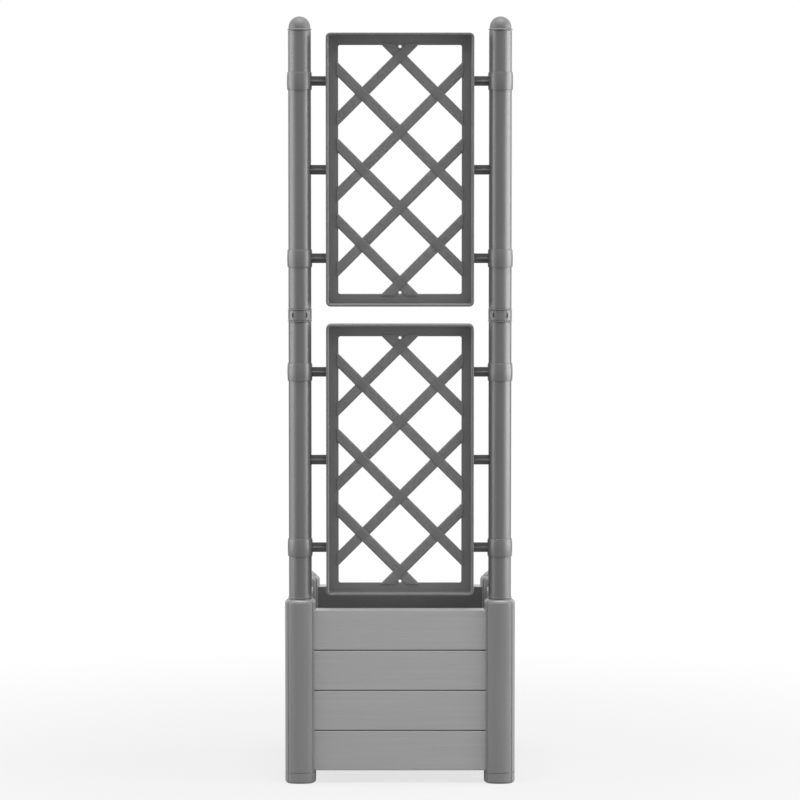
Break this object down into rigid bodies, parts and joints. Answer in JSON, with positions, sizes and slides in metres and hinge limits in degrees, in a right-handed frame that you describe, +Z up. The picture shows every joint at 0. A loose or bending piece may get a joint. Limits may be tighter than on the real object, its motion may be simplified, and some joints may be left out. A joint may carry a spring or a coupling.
{
  "type": "planter with trellis",
  "caption": "Square planter with plank-look walls between hollow corner columns, and a trellis of stacked lattice panels between two poles.",
  "frame": {"origin": "on the floor, under the middle of the planter", "axes": "+Z up, -Y towards the viewer: the trellis side with the two poles; +X to the viewer's right"},
  "size_m": [0.43, 0.43, 1.43],
  "materials": {
    "post_plastic": "satin grey plastic, smooth",
    "plank_plastic": "grey plastic with fine wood grain along the planks",
    "lattice_plastic": "dark grey plastic with fine grain along the bars",
    "floor_plastic": "dark grey plastic"
  },
  "bodies": {
    "root": {"column_front_left": "post_plastic", "column_front_right": "post_plastic", "column_rear_right": "post_plastic", "column_rear_left": "post_plastic", "foot_front_left": "post_plastic", "foot_front_right": "post_plastic", "foot_rear_right": "post_plastic", "foot_rear_left": "post_plastic", "wall_front": "plank_plastic", "wall_right": "plank_plastic", "wall_rear": "plank_plastic", "wall_left": "plank_plastic", "floor_panel": "floor_plastic"},
    "trellis_lower": {"pole_base_left": "post_plastic", "pole_base_right": "post_plastic", "pole_tube_lower_left": "post_plastic", "pole_tube_lower_right": "post_plastic", "collar_lower_low_left": "post_plastic", "collar_lower_high_left": "post_plastic", "collar_lower_low_right": "post_plastic", "collar_lower_high_right": "post_plastic", "connector_left": "post_plastic", "connector_right": "post_plastic", "lattice_panel_lower": "lattice_plastic"},
    "trellis_upper": {"pole_tube_upper_left": "post_plastic", "pole_tube_upper_right": "post_plastic", "collar_upper_low_left": "post_plastic", "collar_upper_high_left": "post_plastic", "collar_upper_low_right": "post_plastic", "collar_upper_high_right": "post_plastic", "lattice_panel_upper": "lattice_plastic"},
    "cap_left": {"pole_cap_left": "post_plastic"},
    "cap_right": {"pole_cap_right": "post_plastic"},
    "plug_left": {"rear_plug_left": "post_plastic"},
    "plug_right": {"rear_plug_right": "post_plastic"}
  },
  "joints": [
    {"name": "trellis_lift", "type": "slide", "parent": "root", "child": "trellis_lower", "axis": [0, 0, 1], "range_m": [0, 0.05]},
    {"name": "upper_trellis_lift", "type": "slide", "parent": "trellis_lower", "child": "trellis_upper", "axis": [0, 0, 1], "range_m": [0, 0.05]},
    {"name": "cap_left_lift", "type": "slide", "parent": "trellis_upper", "child": "cap_left", "axis": [0, 0, 1], "range_m": [0, 0.03]},
    {"name": "cap_right_lift", "type": "slide", "parent": "trellis_upper", "child": "cap_right", "axis": [0, 0, 1], "range_m": [0, 0.03]},
    {"name": "plug_left_lift", "type": "slide", "parent": "root", "child": "plug_left", "axis": [0, 0, 1], "range_m": [0, 0.03]},
    {"name": "plug_right_lift", "type": "slide", "parent": "root", "child": "plug_right", "axis": [0, 0, 1], "range_m": [0, 0.03]}
  ]
}
